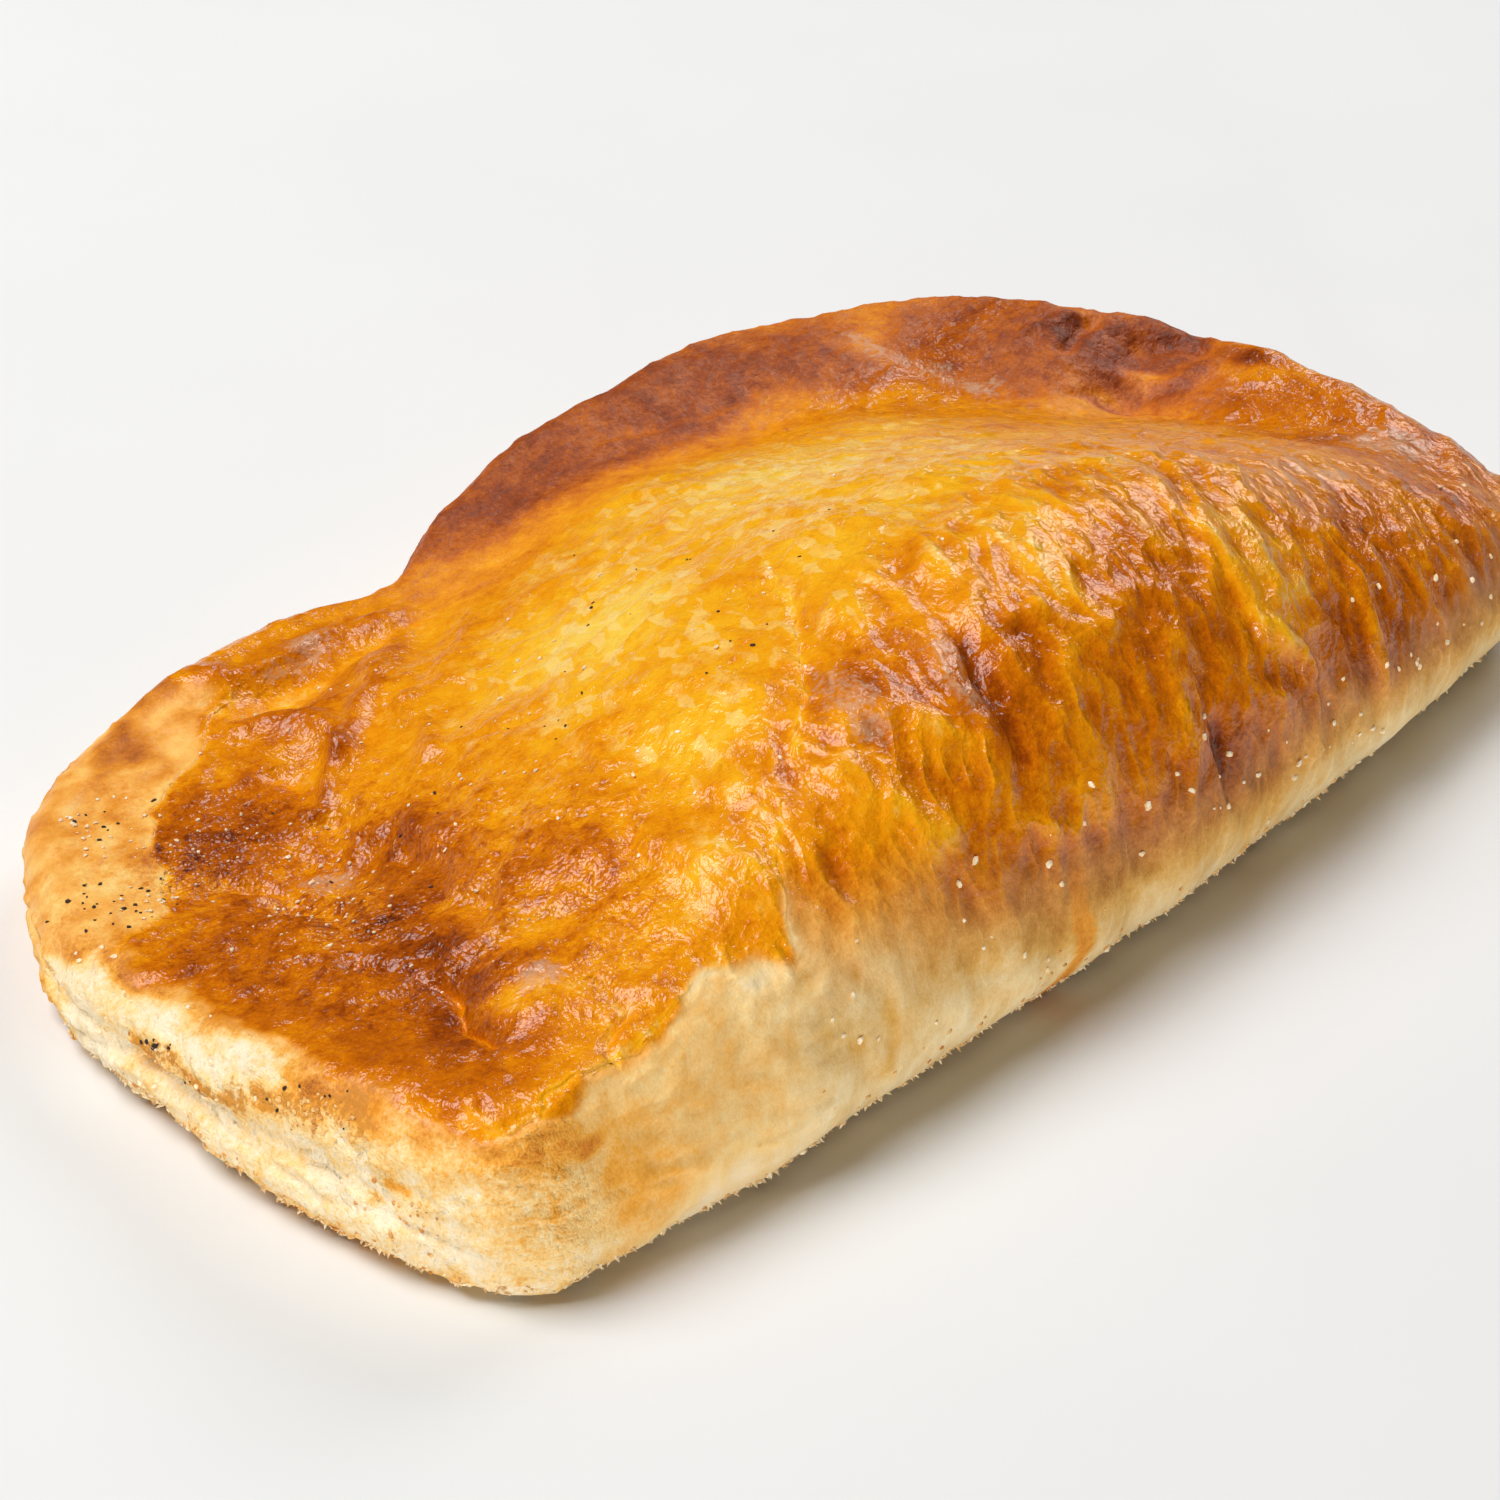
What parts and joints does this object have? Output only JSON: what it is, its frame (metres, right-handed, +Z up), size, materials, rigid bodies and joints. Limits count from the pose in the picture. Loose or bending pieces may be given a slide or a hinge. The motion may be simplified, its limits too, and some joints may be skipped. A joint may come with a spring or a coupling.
{
  "type": "bridie",
  "caption": "Folded puff-pastry bridie with a glossy browned top, a rounded fold and a hand-pressed open edge, lying on its flat underside.",
  "frame": {"origin": "middle of the bounding box, on the flat underside", "axes": "+X along the fold towards the plump far end, +Y from the fold to the pressed back edge, +Z up"},
  "size_m": [0.1796, 0.1054, 0.0383],
  "materials": {
    "crust": "baked puff pastry, egg-washed and glossy on top, pale and matt at the fold and the open edge",
    "grain": "pale coarse grains scattered on the crust",
    "fleck": "dark ground-spice flecks on the crust",
    "crumb": "dry pale flakes frayed from the lower edge"
  },
  "bodies": {
    "root": {"bridie": "crust"}
  },
  "joints": []
}
